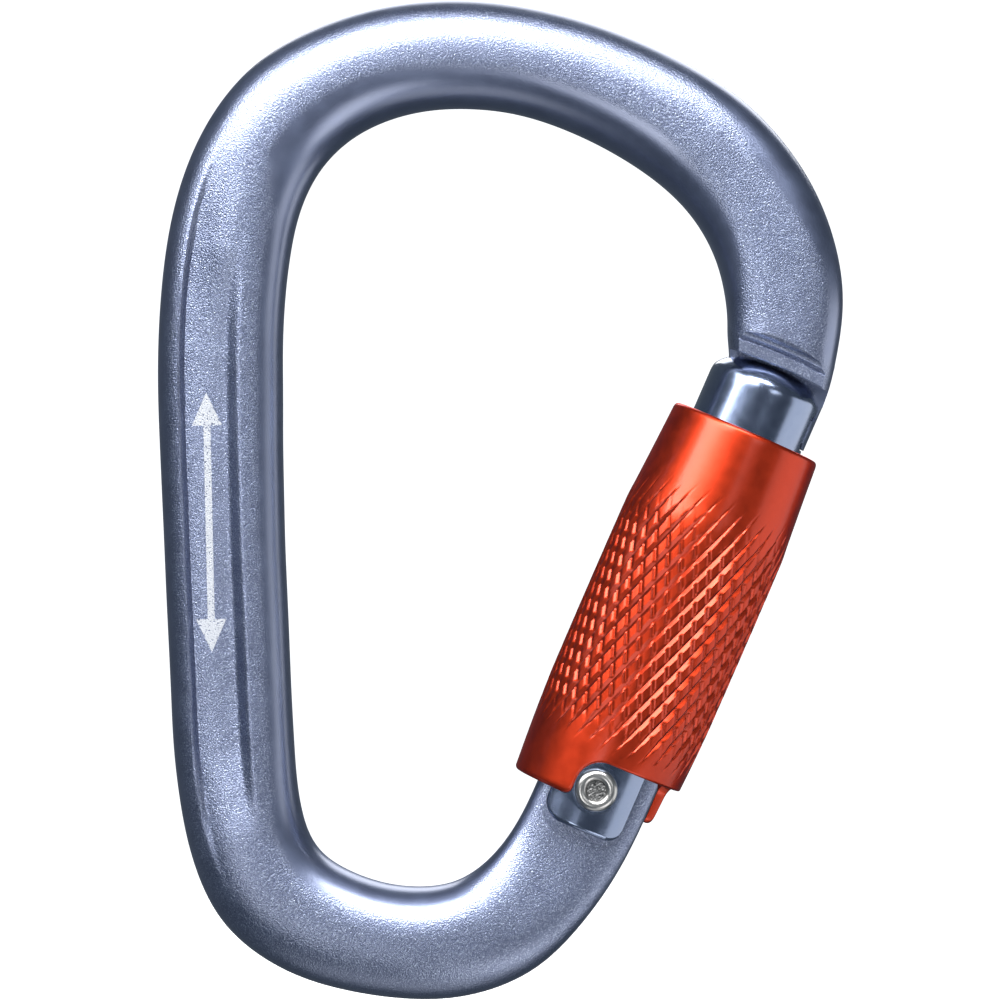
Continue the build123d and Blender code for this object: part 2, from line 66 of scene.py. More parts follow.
def mark_sharp(mesh, angle):
    """Marks the edges whose two faces turn by more than angle, in degrees."""
    normals = np.empty(len(mesh.polygons) * 3, dtype=np.float32)
    mesh.polygons.foreach_get("normal", normals)
    normals = normals.reshape(-1, 3)
    loop_edge = np.empty(len(mesh.loops), dtype=np.int32)
    mesh.loops.foreach_get("edge_index", loop_edge)
    starts = np.empty(len(mesh.polygons), dtype=np.int32)
    totals = np.empty(len(mesh.polygons), dtype=np.int32)
    mesh.polygons.foreach_get("loop_start", starts)
    mesh.polygons.foreach_get("loop_total", totals)
    loop_face = np.repeat(np.arange(len(mesh.polygons)), totals)
    order = np.argsort(loop_edge, kind="stable")
    edge_sorted, face_sorted = loop_edge[order], loop_face[order]
    same = edge_sorted[1:] == edge_sorted[:-1]
    a, b = face_sorted[:-1][same], face_sorted[1:][same]
    dots = np.einsum("ij,ij->i", normals[a], normals[b])
    sharp = np.zeros(len(mesh.edges), dtype=bool)
    sharp[edge_sorted[:-1][same]] = dots < math.cos(math.radians(angle))
    attribute = mesh.attributes.get("sharp_edge") or mesh.attributes.new(
        "sharp_edge", "BOOLEAN", "EDGE"
    )
    attribute.data.foreach_set("value", sharp)


def pchip(xs, ys):
    """Monotone cubic interpolation through a short table."""
    xs, ys = np.asarray(xs, float), np.asarray(ys, float)
    h, d = np.diff(xs), np.diff(ys) / np.diff(xs)
    m = np.empty_like(ys)
    m[0], m[-1] = d[0], d[-1]
    for i in range(1, len(xs) - 1):
        if d[i - 1] * d[i] <= 0:
            m[i] = 0
        else:
            w1, w2 = 2 * h[i] + h[i - 1], h[i] + 2 * h[i - 1]
            m[i] = (w1 + w2) / (w1 / d[i - 1] + w2 / d[i])

    def at(v):
        v = np.asarray(v, float)
        k = np.clip(np.searchsorted(xs, v) - 1, 0, len(xs) - 2)
        t = (v - xs[k]) / h[k]
        inside = (
            (1 + 2 * t) * (1 - t) ** 2 * ys[k]
            + t * (1 - t) ** 2 * h[k] * m[k]
            + t**2 * (3 - 2 * t) * ys[k + 1]
            + t**2 * (t - 1) * h[k] * m[k + 1]
        )
        inside = np.where(v < xs[0], ys[0] + (v - xs[0]) * m[0], inside)
        return np.where(v > xs[-1], ys[-1] + (v - xs[-1]) * m[-1], inside)

    return at


# ---------------------------------------------------------------------------
# Locking sleeve: barrel with a cut diamond knurl, window and notch
# ---------------------------------------------------------------------------
STARTS = 36                      # grooves in each hand
STEPS = 12                       # mesh columns to a groove's pitch
KNURL_R = 8.80
HELIX = math.tan(math.radians(23.0))
COLUMNS = STARTS * STEPS
PITCH = 2 * math.pi * KNURL_R / STARTS
DA = PITCH / STEPS
DT = DA / (2 * HELIX)
KNURL_LOW, KNURL_ROWS = 4.00, 197
KNURL_HIGH = KNURL_LOW + DT * (KNURL_ROWS - 1)
BORE_R, LIP_R, LIP_LOW, TOP = 7.30, 6.12, 37.80, 40.20
BOTTOM, WINDOW_TOP = -1.42, 3.12

barrel = pchip(
    [-0.90, 0.20, 2.10, 6.20, 10.40, 20.00, 28.80, 31.60, 35.40, 39.60],
    [8.24, 8.31, 8.43, 8.64, 8.77, 8.80, 8.77, 8.58, 8.32, 8.06],
)


def ramp(v, a, b):
    t = np.clip((np.asarray(v, float) - a) / (b - a), 0, 1)
    return t * t * (3 - 2 * t)


def groove(distance, depth, flank):
    return np.maximum(0.0, depth - np.abs(distance) * flank)


def wrap(v):
    return (v + PITCH / 2) % PITCH - PITCH / 2


def on_sleeve(theta, t, radius):
    theta, t, radius = np.broadcast_arrays(theta, t, radius)
    return (
        FOOT
        + t[..., None] * ALONG
        + (radius * np.sin(theta))[..., None] * OUTWARD
        + (radius * np.cos(theta))[..., None] * FRONT
    )


def sleeve_boundary():
    """The sleeve's lower edge, one (angle, height) for each column of the mesh."""
    base = (np.arange(COLUMNS) * DA + HELIX * KNURL_LOW) / KNURL_R
    theta = np.mod(base, 2 * math.pi)
    start = int(np.argmin(theta))
    order = (np.arange(COLUMNS) + start) % COLUMNS
    th = theta[order]                    # increasing from just above 0
    th = np.where(th < math.radians(3.3), th + 2 * math.pi, th)
    order = order[np.argsort(th, kind="stable")]
    th = np.sort(th)
    edge_r = 8.40
    wall = math.radians(116.0)
    notch_x, notch_t, notch_r, flare = 0.48, 0.47, 2.65, 0.90

    def angle_of(x, t):
        return 2 * math.pi + math.asin(x / float(barrel(t)))

    # far end of the window: round corner, wall, round toe, skirt
    far = []
    for a in np.linspace(0, math.pi / 2, 14):
        far.append((wall - (1.3 - 1.3 * math.sin(a)) / edge_r, WINDOW_TOP - 1.3 + 1.3 * math.cos(a)))
    for t in np.linspace(WINDOW_TOP - 1.3, BOTTOM + 0.6, 20)[1:]:
        far.append((wall, t))
    for a in np.linspace(0, math.pi / 2, 8)[1:]:
        far.append((wall + (0.6 - 0.6 * math.cos(a)) / edge_r, BOTTOM + 0.6 - 0.6 * math.sin(a)))
    for a in np.linspace(far[-1][0], math.radians(185.0), 30)[1:]:
        far.append((a, BOTTOM))
    # near end: skirt, flare, wall of the notch, arc round the rivet head
    near = [(a, BOTTOM) for a in np.linspace(math.radians(285.0), angle_of(notch_x - notch_r - flare, BOTTOM), 30)]
    for a in np.linspace(0, math.pi / 2, 12)[1:]:
        x = notch_x - notch_r - flare + flare * math.sin(a)
        t = BOTTOM + (0.47 + 0.30) * (1 - math.cos(a))
        near.append((angle_of(x, t), t))
    for t in np.linspace(near[-1][1], notch_t, 10)[1:]:
        near.append((angle_of(notch_x - notch_r, t), t))
    for a in np.linspace(0, math.pi / 2, 30)[1:]:
        x = notch_x - notch_r * math.cos(a)
        t = notch_t + notch_r * math.sin(a)
        near.append((angle_of(x, t), t))

    def along_path(path, lo, hi, values):
        path = np.array(path)
        step = np.hypot(np.diff(path[:, 0]) * edge_r, np.diff(path[:, 1]))
        length = np.concatenate([[0], np.cumsum(step)])
        want = (values - lo) / (hi - lo) * length[-1]
        return np.interp(want, length, path[:, 0]), np.interp(want, length, path[:, 1])

    out_theta, out_t = th.copy(), np.full(COLUMNS, WINDOW_TOP)
    far_lo, far_hi = far[0][0], far[-1][0]
    near_lo, near_hi = near[0][0], near[-1][0]
    part = (th >= far_lo) & (th <= far_hi)
    out_theta[part], out_t[part] = along_path(far, far_lo, far_hi, th[part])
    out_t[(th > far_hi) & (th < near_lo)] = BOTTOM
    part = (th >= near_lo) & (th <= near_hi)
    out_theta[part], out_t[part] = along_path(near, near_lo, near_hi, th[part])
    # back to the mesh's own column order
    result_theta, result_t, top_theta = np.empty(COLUMNS), np.empty(COLUMNS), np.empty(COLUMNS)
    result_theta[order], result_t[order], top_theta[order] = out_theta, out_t, th
    return result_theta, result_t, top_theta, order


def build_sleeve():
    edge_theta, edge_t, top_theta, order = sleeve_boundary()
    # inward normals of the edge, in the unrolled surface
    s, t = edge_theta[order] * 8.40, edge_t[order]
    turn = 2 * math.pi * 8.40
    ds = np.roll(s, -1) - np.roll(s, 1)
    ds = np.where(ds < -turn / 2, ds + turn, ds)
    dt = np.roll(t, -1) - np.roll(t, 1)
    norm = np.hypot(ds, dt) + 1e-12
    ns, nt = -dt / norm, ds / norm
    for _ in range(2):
        ns = (np.roll(ns, 1) + 2 * ns + np.roll(ns, -1)) / 4
        nt = (np.roll(nt, 1) + 2 * nt + np.roll(nt, -1)) / 4
    n_theta, n_t = np.empty(COLUMNS), np.empty(COLUMNS)
    n_theta[order], n_t[order] = ns / 8.40, nt
    low = np.clip((WINDOW_TOP - edge_t) / (WINDOW_TOP - BOTTOM), 0, 1)
    rounding = 0.20 + 0.25 * ramp(low, 0.75, 1.0)

    rows = []
    # edge rounding, from the edge inwards
    for share in (0.0, 0.06, 0.18, 0.36, 0.62, 1.0):
        d = rounding * share
        theta_d, t_d = edge_theta + n_theta * d, edge_t + n_t * d
        drop = rounding - np.sqrt(np.maximum(rounding**2 - (rounding - d) ** 2, 0))
        rows.append(on_sleeve(theta_d, t_d, barrel(t_d) - drop))
    theta_r, t_r = theta_d, t_d
    # plain skirt up to the knurl
    for share in np.linspace(0, 1, 15)[1:]:
        blend = share
        theta_b = theta_r + (top_theta - theta_r) * blend
        t_b = t_r + (KNURL_LOW - t_r) * share
        if share == 1:
            break
        rows.append(on_sleeve(theta_b, t_b, barrel(t_b)))
    # knurled band
    a = np.arange(COLUMNS) * DA
    for j in range(KNURL_ROWS):
        h = KNURL_LOW + DT * j
        s_here = a + HELIX * h
        main = 0.30 * ramp(h, 3.9, 8.4) * (1 - ramp(h, 26.0, 33.4))
        cross = 0.215 * ramp(h, 4.8, 9.0) * (1 - ramp(h, 25.0, 32.0))
        cut = np.maximum(
            groove(wrap(a), main, 0.30 / (3 * DA)),
            groove(wrap(s_here + HELIX * h - 2 * HELIX * KNURL_LOW), cross, 0.215 / (2.4 * DA)),
        )
        rows.append(on_sleeve(s_here / KNURL_R, np.full(COLUMNS, h), float(barrel(h)) - cut))
    top_angle = (a + HELIX * KNURL_HIGH) / KNURL_R
    # plain band, brim, lip
    for h in np.linspace(KNURL_HIGH, 39.60, 14)[1:]:
        rows.append(on_sleeve(top_angle, np.full(COLUMNS, h), float(barrel(h))))
    brim = [(8.035, 39.78), (7.99, 39.93), (7.92, 40.05), (7.83, 40.13), (7.70, 40.18), (7.52, TOP),
            (6.60, TOP), (6.44, TOP), (6.34, 40.17), (6.24, 40.08), (6.16, 39.96), (LIP_R, 39.80),
            (LIP_R, 38.6), (LIP_R, LIP_LOW + 0.05), (LIP_R + 0.05, LIP_LOW), (BORE_R, LIP_LOW)]
    for r, h in brim:
        rows.append(on_sleeve(top_angle, np.full(COLUMNS, h), r))
    for h in (36.0, 30.0, 24.0, 18.0, 12.0, 8.0):
        rows.append(on_sleeve(top_angle, np.full(COLUMNS, h), BORE_R))
    # bore below, back to the columns of the edge
    shift = int(round(HELIX * (KNURL_HIGH - KNURL_LOW) / DA))
    inner = []
    x_edge = np.sin(edge_theta) * barrel(edge_t)
    in_theta = edge_theta.copy()
    near_front = (np.cos(edge_theta) > 0.5) & (x_edge < 0.48) & (x_edge > -5)
    in_theta[near_front] = 2 * math.pi + np.arcsin(np.clip(x_edge[near_front] / BORE_R, -1, 1))
    soft = ramp(x_edge, -5.0, -3.3)
    in_theta = edge_theta + (in_theta - edge_theta) * np.where(near_front, soft, 0)
    for share in (1.0, 0.8, 0.6, 0.4, 0.2, 0.08):
        theta_b = in_theta + (top_theta - in_theta) * share
        t_b = edge_t + (KNURL_LOW - edge_t) * share
        inner.append(on_sleeve(theta_b, t_b, BORE_R))
    inner.append(on_sleeve(in_theta, edge_t + 0.12 * n_t, BORE_R))
    inner.append(on_sleeve(in_theta, edge_t, BORE_R + 0.12))
    n_upper = len(rows)
    rows = rows + inner

    points = np.concatenate(rows)
    faces = []
    n = len(rows)
    idx = np.arange(COLUMNS)
    for j in range(n):
        k = (j + 1) % n
        lower = j * COLUMNS + idx
        if j == n_upper - 1:
            upper = k * COLUMNS + (idx + shift) % COLUMNS
        elif j == n - 1:
            upper = idx
        else:
            upper = k * COLUMNS + idx
        nxt = np.roll(lower, -1)
        upn = np.roll(upper, -1)
        faces.extend(np.stack([lower, nxt, upn, upper], axis=1).tolist())
    return mesh_object("sleeve_barrel", points, faces, 30.0)


sleeve = build_sleeve()

# ---------------------------------------------------------------------------
# Frame: the forged body as one fine mesh, from its stations (millimetres)
# outer edge x, z, inner edge x, z, half thickness, squareness, and depth of the
# side channel at its outer wall and at its inner slope
# ---------------------------------------------------------------------------
STATIONS = np.array([
    (37.36, -31.17, 27.75, -26.99, 5.70, 3.30, 0.00, 0.00),
    (38.04, -29.28, 27.74, -25.62, 5.70, 3.30, 0.00, 0.00),
    (38.77, -26.22, 27.60, -23.76, 5.70, 3.35, 0.00, 0.00),
    (39.42, -21.86, 27.56, -21.80, 5.70, 3.40, 0.00, 0.00),
    (38.99, -15.40, 27.02, -17.98, 5.69, 3.30, 0.00, 0.00),
    (36.89, -9.17, 25.79, -14.42, 5.64, 3.05, 0.00, 0.00),
    (33.44, -3.64, 23.79, -11.18, 5.58, 2.75, 0.00, 0.00),
    (28.97, 0.94, 21.06, -8.35, 5.54, 2.54, 0.00, 0.00),
    (23.90, 4.35, 17.67, -5.85, 5.50, 2.42, 0.00, 0.00),
    (18.66, 6.94, 13.77, -3.63, 5.47, 2.34, 0.00, 0.00),
    (13.23, 8.97, 9.62, -1.82, 5.44, 2.32, 0.00, 0.00),
    (7.53, 10.43, 5.36, -0.57, 5.41, 2.30, 0.00, 0.00),
    (1.61, 11.21, 1.03, -0.06, 5.40, 2.30, 0.00, 0.00),
    (-4.45, 11.13, -3.22, -0.20, 5.38, 2.30, 0.00, 0.00),
    (-10.58, 10.05, -7.23, -1.09, 5.38, 2.31, 0.00, 0.00),
    (-16.59, 7.73, -10.77, -2.72, 5.37, 2.32, 0.00, 0.00),
    (-22.20, 3.96, -13.55, -4.98, 5.36, 2.33, 0.00, 0.00),
    (-26.45, -1.40, -15.60, -7.81, 5.35, 2.35, 0.03, 0.00),
    (-29.11, -7.35, -17.05, -11.34, 5.33, 2.53, 0.40, 0.00),
    (-30.56, -13.25, -17.93, -15.49, 5.31, 2.82, 0.85, 0.06),
    (-31.28, -18.95, -18.45, -20.05, 5.30, 2.90, 1.03, 0.55),
    (-31.60, -24.47, -18.67, -24.83, 5.30, 2.90, 1.06, 0.90),
    (-31.62, -29.86, -18.66, -29.76, 5.30, 2.90, 1.07, 1.03),
    (-31.44, -35.12, -18.65, -34.82, 5.30, 2.90, 1.08, 1.10),
    (-31.21, -40.34, -18.56, -39.92, 5.30, 2.90, 1.08, 1.16),
    (-30.98, -45.54, -18.44, -45.04, 5.30, 2.90, 1.08, 1.21),
    (-30.76, -50.71, -18.23, -50.17, 5.30, 2.90, 1.09, 1.24),
    (-30.51, -55.87, -18.01, -55.32, 5.30, 2.90, 1.11, 1.25),
    (-30.27, -61.06, -17.80, -60.45, 5.31, 2.90, 1.15, 1.25),
    (-29.99, -66.39, -17.53, -65.42, 5.33, 2.84, 1.07, 1.09),
    (-29.34, -72.00, -17.16, -70.09, 5.34, 2.62, 0.70, 0.55),
    (-28.00, -78.12, -16.38, -74.08, 5.35, 2.42, 0.16, 0.05),
    (-24.77, -84.65, -15.02, -76.81, 5.34, 2.38, 0.00, 0.00),
    (-18.92, -89.29, -12.81, -78.65, 5.33, 2.37, 0.00, 0.00),
    (-12.64, -91.52, -9.44, -80.12, 5.30, 2.35, 0.00, 0.00),
    (-6.26, -92.50, -5.65, -80.85, 5.20, 2.35, 0.00, 0.00),
    (0.43, -92.21, -2.01, -80.66, 4.90, 2.46, 0.00, 0.00),
    (7.17, -89.62, 0.88, -79.50, 4.20, 2.70, 0.00, 0.00),
    (12.19, -84.97, 3.53, -77.21, 3.25, 3.14, 0.00, 0.00),
    (15.29, -80.76, 5.52, -74.48, 2.84, 3.68, 0.00, 0.00),
    (17.70, -76.47, 7.22, -71.21, 2.78, 4.52, 0.00, 0.00),
    (19.61, -72.31, 8.82, -67.52, 2.78, 5.00, 0.00, 0.00),
    (21.52, -67.90, 10.70, -63.19, 2.78, 5.00, 0.00, 0.00),
])


def natural_spline(xs, ys, at):
    """C2 cubic through the table, with relaxed ends."""
    n = len(xs)
    h = np.diff(xs)
    system, right = np.zeros((n, n)), np.zeros(n)
    system[0, 0] = system[-1, -1] = 1.0
    for i in range(1, n - 1):
        system[i, i - 1], system[i, i], system[i, i + 1] = h[i - 1], 2 * (h[i - 1] + h[i]), h[i]
        right[i] = 6 * ((ys[i + 1] - ys[i]) / h[i] - (ys[i] - ys[i - 1]) / h[i - 1])
    m = np.linalg.solve(system, right)
    k = np.clip(np.searchsorted(xs, at) - 1, 0, n - 2)
    a, b = (xs[k + 1] - at) / h[k], (at - xs[k]) / h[k]
    return a * ys[k] + b * ys[k + 1] + ((a**3 - a) * m[k] + (b**3 - b) * m[k + 1]) * h[k] ** 2 / 6


WALL = (0.165, 0.230)
SLOPE = (0.550, 0.670)
AROUND = 92                      # points on each side of a section
STATION_STEP = 0.62


def drop(f):
    """The channel's outer wall: a round brow, a straight fall and a tight foot."""
    t = np.clip((f - WALL[0]) / (WALL[1] - WALL[0]), 0, 1)
    brow, foot = 0.45, 0.12
    rise = 1.0 / (1 - brow / 2 - foot / 2)
    fall = np.where(t < brow, rise * t * t / (2 * brow), rise * (t - brow / 2))
    return np.where(t > 1 - foot, 1 - rise * (1 - t) ** 2 / (2 * foot), fall)


def section(width, half, power, wall_depth, slope_depth):
    """One side of the section, evenly spaced along its outline: across, height."""
    phi = np.linspace(0, math.pi, 1400)
    c, s = np.cos(phi), np.sin(phi)
    f = 0.5 - 0.5 * np.sign(c) * np.abs(c) ** (2 / power)
    y = half * np.abs(s) ** (2 / power)
    floor = wall_depth + (slope_depth - wall_depth) * ramp(f, WALL[1], SLOPE[0])
    y = y - np.where(f < SLOPE[0], floor * drop(f), floor * (1 - ramp(f, *SLOPE)))
    x = f * width
    length = np.concatenate([[0], np.cumsum(np.hypot(np.diff(x), np.diff(y)))])
    want = np.linspace(0, length[-1], AROUND + 1)
    return np.interp(want, length, x), np.interp(want, length, y)


def build_forging():
    mid = (STATIONS[:, 0:2] + STATIONS[:, 2:4]) / 2
    v = np.concatenate([[0], np.cumsum(np.hypot(*np.diff(mid, axis=0).T))])
    count = int(round(v[-1] / STATION_STEP))
    at = np.linspace(0, v[-1], count)
    table = [natural_spline(v, STATIONS[:, i], at) for i in range(4)]
    table += [pchip(v, STATIONS[:, i])(at) for i in range(4, 8)]
    rings = []
    for xo, zo, xi, zi, half, power, wall_depth, slope_depth in np.array(table).T:
        width = math.hypot(xi - xo, zi - zo)
        ux, uz = (xi - xo) / width, (zi - zo) / width
        x, y = section(width, half, power, wall_depth, slope_depth)
        front = np.stack([xo + ux * x, -y, zo + uz * x], axis=1)
        back = np.stack([xo + ux * x, y, zo + uz * x], axis=1)[1:-1][::-1]
        rings.append(np.concatenate([front, back]))
    ring = len(rings[0])
    points = np.concatenate(rings)
    idx = np.arange(ring)
    faces = []
    for j in range(count - 1):
        a = j * ring + idx
        b = j * ring + (idx + 1) % ring
        faces.extend(np.stack([a, b, b + ring, a + ring], axis=1).tolist())
    faces.append(idx[::-1].tolist())
    faces.append(((count - 1) * ring + idx).tolist())
    return mesh_object("forging", points, faces, 30.0)


def arc3(a, b, c, n=8):
    """Points on the arc through three points."""
    (ax, ay), (bx, by), (cx, cy) = a, b, c
    d = 2 * (ax * (by - cy) + bx * (cy - ay) + cx * (ay - by))
    ux = ((ax**2 + ay**2) * (by - cy) + (bx**2 + by**2) * (cy - ay) + (cx**2 + cy**2) * (ay - by)) / d
    uy = ((ax**2 + ay**2) * (cx - bx) + (bx**2 + by**2) * (ax - cx) + (cx**2 + cy**2) * (bx - ax)) / d
    r = math.hypot(ax - ux, ay - uy)
    t0, t1, t2 = (math.atan2(y - uy, x - ux) for x, y in (a, b, c))
    def unwrap(t, base):
        while t - base > math.pi: t -= 2 * math.pi
        while t - base < -math.pi: t += 2 * math.pi
        return t
    t1 = unwrap(t1, t0)
    t2 = unwrap(t2, t1)
    return [(ux + r * math.cos(t), uy + r * math.sin(t)) for t in np.linspace(t0, t2, n + 1)]


def swung(name, profile, low, high, steps):
    """A profile of (y, distance from the rivet) swept about the rivet's axis, in degrees."""
    points, faces = [], []
    k = len(profile)
    for a in np.radians(np.linspace(low, high, steps + 1)):
        away = ALONG * math.cos(a) + OUTWARD * math.sin(a)
        points += [PIVOT + np.array([0, y, 0]) + r * away for y, r in profile]
    for j in range(steps):
        for i in range(k):
            faces.append((j * k + i, j * k + (i + 1) % k, (j + 1) * k + (i + 1) % k, (j + 1) * k + i))
    faces.append(tuple(range(k))[::-1])
    faces.append(tuple(steps * k + i for i in range(k)))
    return fix_outside(mesh_object(name, points, faces))


def slab(name, outline, low, high):
    """An outline in the gate's own plane (outward, along), from y low to y high."""
    k = len(outline)
    points = [FOOT + x * OUTWARD + t * ALONG + np.array([0, y, 0]) for y in (low, high) for x, t in outline]
    faces = [(i, (i + 1) % k, k + (i + 1) % k, k + i) for i in range(k)]
    faces += [tuple(range(k))[::-1], tuple(k + i for i in range(k))]
    return fix_outside(mesh_object(name, points, faces))


def round_slab(name, centre, radius, low, high, steps=96):
    x0, t0 = centre
    return slab(name, [(x0 + radius * math.cos(2 * math.pi * i / steps), t0 + radius * math.sin(2 * math.pi * i / steps)) for i in range(steps)], low, high)


def turned(name, profile, steps=96):
    """A closed profile of (radius, height) turned about the gate's axis."""
    points, faces = [], []
    k = len(profile)
    for j in range(steps):
        a = 2 * math.pi * j / steps
        side = math.cos(a) * OUTWARD + math.sin(a) * FRONT
        points += [FOOT + t * ALONG + r * side for r, t in profile]
    for j in range(steps):
        m = (j + 1) % steps
        for i in range(k):
            faces.append((j * k + i, j * k + (i + 1) % k, m * k + (i + 1) % k, m * k + i))
    return fix_outside(mesh_object(name, points, faces))


def fix_outside(obj):
    """Turns a closed mesh's faces outwards."""
    mesh = obj.data
    mesh.calc_loop_triangles()
    v = np.empty(len(mesh.vertices) * 3, dtype=np.float32)
    mesh.vertices.foreach_get("co", v)
    v = v.reshape(-1, 3)
    tri = np.empty(len(mesh.loop_triangles) * 3, dtype=np.int32)
    mesh.loop_triangles.foreach_get("vertices", tri)
    a, b, c = (v[tri.reshape(-1, 3)[:, i]] for i in range(3))
    if np.einsum("ij,ij->i", a, np.cross(b, c)).sum() < 0:
        mesh.flip_normals()
    return obj


def combine(base, steps, smooth_below=30.0):
    """Applies a list of (operation, object) to base, and removes the tools."""
    for operation, tool in steps:
        m = base.modifiers.new(tool.name, "BOOLEAN")
        m.operation, m.object, m.solver = operation, tool, "MANIFOLD"
    bpy.context.view_layer.update()
    made = bpy.data.meshes.new_from_object(base.evaluated_get(bpy.context.evaluated_depsgraph_get()))
    base.modifiers.clear()
    old, base.data = base.data, made
    bpy.data.meshes.remove(old)
    for _, tool in steps:
        bpy.data.objects.remove(tool)
    made.polygons.foreach_set("use_smooth", [True] * len(made.polygons))
    mark_sharp(made, smooth_below)
    return base


def build_frame():
    forged = fix_outside(build_forging())
    plate, neck = 47.60, 1.50
    neck_top = 51.05
    reliefs = []
    for side in (-1, 1):
        profile = [(neck, 43.0), (neck, plate + 0.10), (4.34, plate - 0.12), (4.46, plate + 0.02), (4.60, plate + 1.10),
                   (4.50, plate + 1.24), (4.62, plate + 1.42), (4.94, plate + 1.62)]
        profile += arc3((4.94, plate + 1.62), (5.00, plate + 1.92), (5.42, plate + 2.22))[1:]
        profile += arc3((5.42, plate + 2.22), (5.62, plate + 2.46), (5.72, plate + 3.00))[1:]
        profile += [(5.75, plate + 4.25), (9, plate + 4.25), (9, 43.0)]
        reliefs.append(("DIFFERENCE", swung("relief", [(side * y, r) for y, r in profile], -12, 14, 52)))
    combine(forged, reliefs)
    key_profile = [
        (-neck, neck_top), (-neck, 44.60), (-2.25, 44.10), (-2.25, 41.70), (-1.65, 41.10),
        (1.65, 41.10), (2.25, 41.70), (2.25, 44.10), (neck, 44.60), (neck, neck_top),
    ]
    key = swung("key", key_profile, -9, 11, 40)
    outline = [(-5.90, 49.00), (-4.85, 46.90), (-4.50, 45.90), (-4.50, 38.0), (7.0, 38.0), (7.0, 44.0),
               (6.16, 46.20), (5.96, 48.00), (5.66, 50.00), (4.60, 52.50), (-5.00, 52.50)]
    combine(key, [("INTERSECT", slab("key_outline", outline, -7, 7)),
                  ("INTERSECT", turned("key_round", [(0.001, 36), (6.20, 36), (6.20, 56), (0.001, 56)]))])
    px, pt = 0.25, 0.10
    top = 4.25
    sx = px + math.sqrt(6.45**2 - (top - pt) ** 2)
    low = (px + math.sqrt(6.45**2 - 1.5**2), 1.6)
    trim = [(-9, 8), (-9, 2.9)] + arc3((-5.7, 2.9), (-5.30, 3.80), (-4.40, top), 6)
    trim += arc3((sx, top), (px + 6.45 * math.cos(math.radians(30.5)), pt + 6.45 * math.sin(math.radians(30.5))), low, 10)
    trim += [(9, 1.6), (9, 8)]
    return combine(forged, [
        ("UNION", key),
        ("DIFFERENCE", round_slab("flat_front", (px, pt), 6.15, -9, -2.60)),
        ("DIFFERENCE", round_slab("flat_back", (px, pt), 6.15, 2.60, 9)),
        ("DIFFERENCE", slab("tongue_trim", trim, -8, 8)),
        ("DIFFERENCE", round_slab("tongue_bore", (px, pt), 1.65, -9, 9, 48)),
    ])


forged_frame = build_frame()
forged_frame.name = "forged_frame"


# where the blasted face begins and ends across the section, at each station
BLASTED = np.array(
    [(0.15, 0.96)] * 4 + [(0.15, 0.88), (0.27, 0.80), (0.30, 0.77), (0.18, 0.72)] + [(0.08, 0.65)] * 6
    + [(0.10, 0.60)] * 4 + [(0.07, 0.82)] * 13 + [(0.05, 0.75)] * 6 + [(0.02, 0.93)] * 6
)


def mark_blasting(obj):
    """Stores how strongly each point is bead-blasted: the flanks are left smoother."""
    mid = (STATIONS[:, 0:2] + STATIONS[:, 2:4]) / 2
    v = np.concatenate([[0], np.cumsum(np.hypot(*np.diff(mid, axis=0).T))])
    at = np.linspace(0, v[-1], 420)
    xo, zo, xi, zi = (natural_spline(v, STATIONS[:, i], at) for i in range(4))
    width2 = (xi - xo) ** 2 + (zi - zo) ** 2
    mesh = obj.data
    co = np.empty(len(mesh.vertices) * 3, dtype=np.float32)
    mesh.vertices.foreach_get("co", co)
    co = co.reshape(-1, 3).astype(float) / MM
    across = np.empty(len(co))
    nearest = np.empty(len(co), dtype=int)
    for start in range(0, len(co), 20000):
        part = co[start:start + 20000]
        px, pz = part[:, 0, None], part[:, 2, None]
        f = ((px - xo) * (xi - xo) + (pz - zo) * (zi - zo)) / width2
        off = (px - xo - f * (xi - xo)) ** 2 + (pz - zo - f * (zi - zo)) ** 2
        off += np.where((f < -0.4) | (f > 1.4), 1e4, 0)
        best = np.argmin(off, axis=1)
        across[start:start + 20000] = f[np.arange(len(part)), best]
        nearest[start:start + 20000] = best
    outer = np.interp(at, v, BLASTED[:, 0])[nearest]
    inner = np.interp(at, v, BLASTED[:, 1])[nearest]
    blasted = ramp(across, outer - 0.045, outer + 0.045) * (1 - ramp(across, inner - 0.05, inner + 0.04))
    away = co - PIVOT
    r = np.hypot(away[:, 0], away[:, 2])
    on_nose = (np.abs(co[:, 1]) > 1.6) & (np.abs(co[:, 1]) < 5.69) & (r > 47.4) & (r < 50.0)
    on_nose &= away @ OUTWARD < 9.0
    on_nose &= away @ ALONG > 40.0
    blasted = np.where(on_nose, 1.0, blasted)
    attribute = mesh.attributes.new("blasting", "FLOAT", "POINT")
    attribute.data.foreach_set("value", blasted.astype(np.float32))


mark_blasting(forged_frame)

# ---------------------------------------------------------------------------
# Hinge rivet: a rolled ring round a hammered centre, turned about the rivet's axis
# ---------------------------------------------------------------------------


